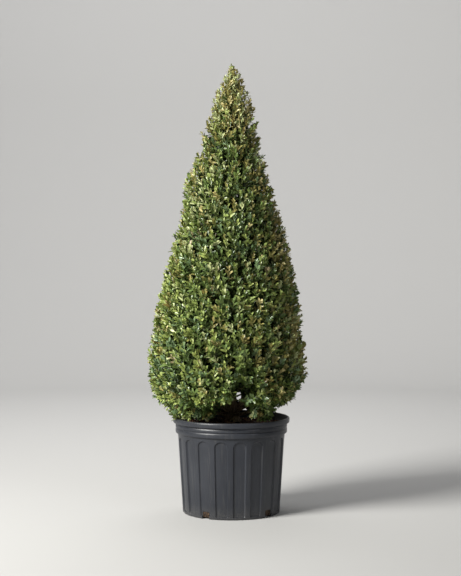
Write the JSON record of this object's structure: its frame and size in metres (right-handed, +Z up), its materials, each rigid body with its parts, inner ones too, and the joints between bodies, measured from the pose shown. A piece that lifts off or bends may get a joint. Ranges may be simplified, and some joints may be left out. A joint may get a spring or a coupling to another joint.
{
  "type": "boxwood cone topiary in a nursery container",
  "caption": "Boxwood clipped to a tall cone, with low skirts of foliage round a short trunk, growing in a fluted black nursery container that stands on its flat underside.",
  "frame": {"origin": "centre of the container's flat underside, where it stands on the floor", "axes": "+Z up along the container's axis to the cone's tip; the front, with the opening over the potting mix, faces -Y; +X is to the right seen from the front"},
  "size_m": [0.4712, 0.4717, 1.363],
  "materials": {
    "container": "satin",
    "mix": "matt",
    "bark": "rough",
    "foliage": "satin"
  },
  "bodies": {
    "root": {"pot": "container", "potting_mix": "mix", "trunk": "bark", "stem_front_left": "bark", "stem_front": "bark", "stem_right": "bark", "stem_back": "bark", "stem_left": "bark", "bough_left": "bark", "bough_right": "bark", "bough_back_right": "bark", "bough_back_left": "bark", "skirt_left": "foliage", "skirt_right": "foliage", "skirt_back_right": "foliage", "skirt_back_left": "foliage", "clipped_cone": "foliage"}
  },
  "joints": []
}
